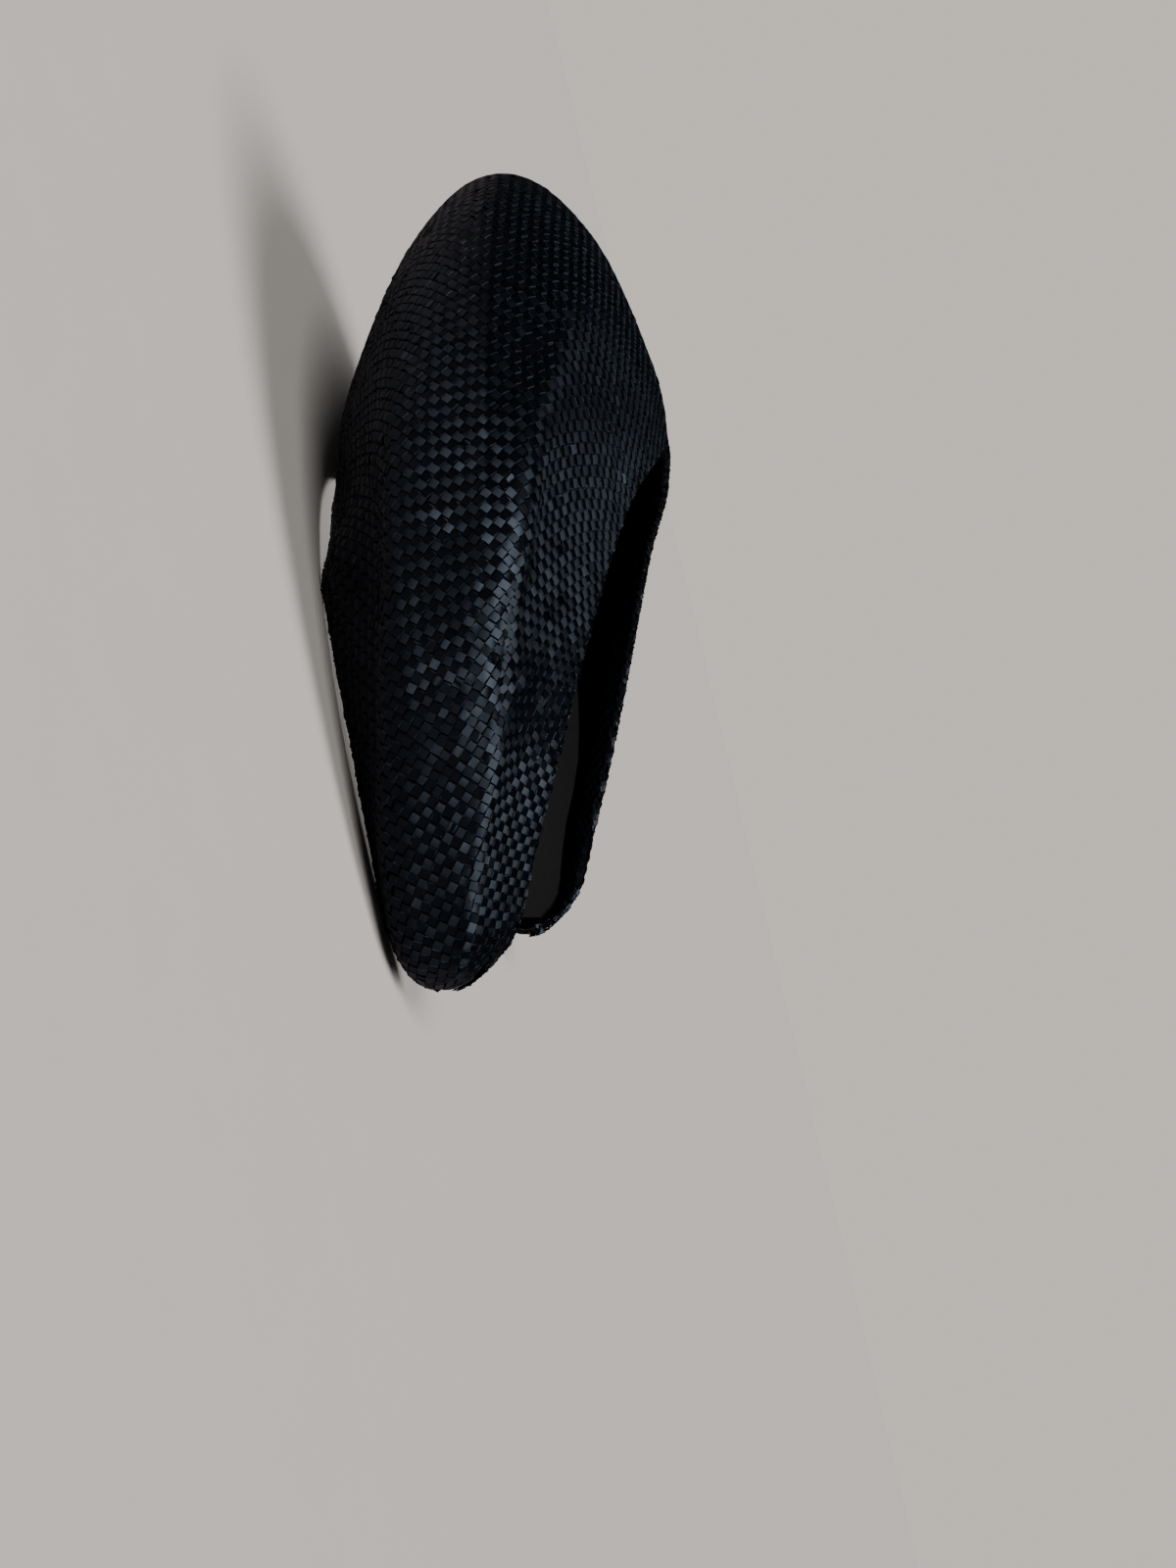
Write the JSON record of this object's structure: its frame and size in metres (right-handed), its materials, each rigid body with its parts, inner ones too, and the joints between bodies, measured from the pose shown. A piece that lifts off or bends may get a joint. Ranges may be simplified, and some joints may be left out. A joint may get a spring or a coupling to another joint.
{
  "type": "halo headpiece",
  "caption": "Crescent halo headpiece of blocked, plain-woven flat straw, hollow and open toward the head, on a plain hidden head band.",
  "frame": {"origin": "centre of the underside of the bounding box, on the surface that the headpiece rests on", "axes": "+X across the head from tip side to tip side, +Y from the tips to the crown, +Z from the back rim that it lies on up to the front rim"},
  "size_m": [0.194, 0.16, 0.0705],
  "materials": {
    "straw": "glossy dyed flat straw, plain woven",
    "band": "matt, plain"
  },
  "bodies": {
    "root": {"halo_shell": "straw", "head_band": "band"}
  },
  "joints": []
}
